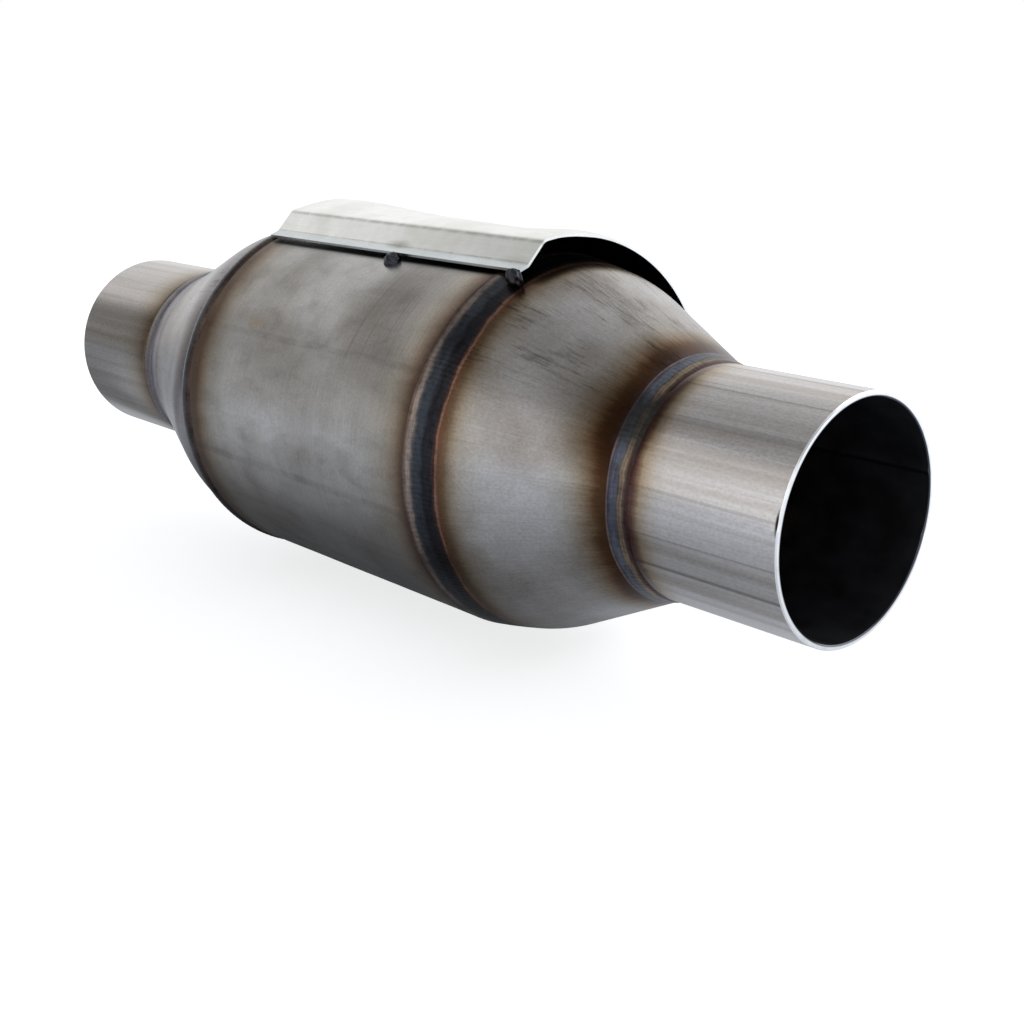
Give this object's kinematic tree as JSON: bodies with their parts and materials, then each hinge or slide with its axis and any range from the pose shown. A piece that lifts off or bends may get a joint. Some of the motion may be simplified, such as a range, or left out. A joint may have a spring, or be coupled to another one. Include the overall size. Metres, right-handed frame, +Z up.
{
  "type": "catalytic converter",
  "caption": "Round welded steel exhaust converter: pipe stubs, cones, a drum with ceramic honeycomb bricks and a tack-welded half heat shield.",
  "frame": {"origin": "centre of the inlet pipe's mouth", "axes": "+X along the pipe axis from inlet to outlet, +Z up as pictured, with the heat shield leaning 38.5 degrees from +Z towards +Y"},
  "size_m": [0.33, 0.1151, 0.1152],
  "materials": {
    "stainless_pipe": "satin, drawn along the pipe",
    "stainless_cone": "satin, drawn, with fine scratches",
    "stainless_shell": "satin mill finish",
    "weld_bead": "rippled, heat tinted",
    "wire_mesh": "knitted wire",
    "fibre_mat": "pressed ceramic fibre",
    "washcoated_ceramic": "matt, porous",
    "coated_sheet": "satin aluminised"
  },
  "bodies": {
    "root": {"inlet_pipe": "stainless_pipe", "inlet_pipe_weld": "weld_bead", "inlet_cone": "stainless_cone", "inlet_shell_weld": "weld_bead", "shell": "stainless_shell", "shell_seam_weld": "weld_bead", "outlet_shell_weld": "weld_bead", "outlet_cone": "stainless_cone", "outlet_pipe_weld": "weld_bead", "outlet_pipe": "stainless_pipe", "inlet_seal_ring": "wire_mesh", "front_mat": "fibre_mat", "front_monolith": "washcoated_ceramic", "spacer_ring": "wire_mesh", "rear_monolith": "washcoated_ceramic", "rear_mat": "fibre_mat", "outlet_seal_ring": "wire_mesh", "heat_shield": "coated_sheet", "front_tacks": "weld_bead", "back_tacks": "weld_bead"}
  },
  "joints": []
}
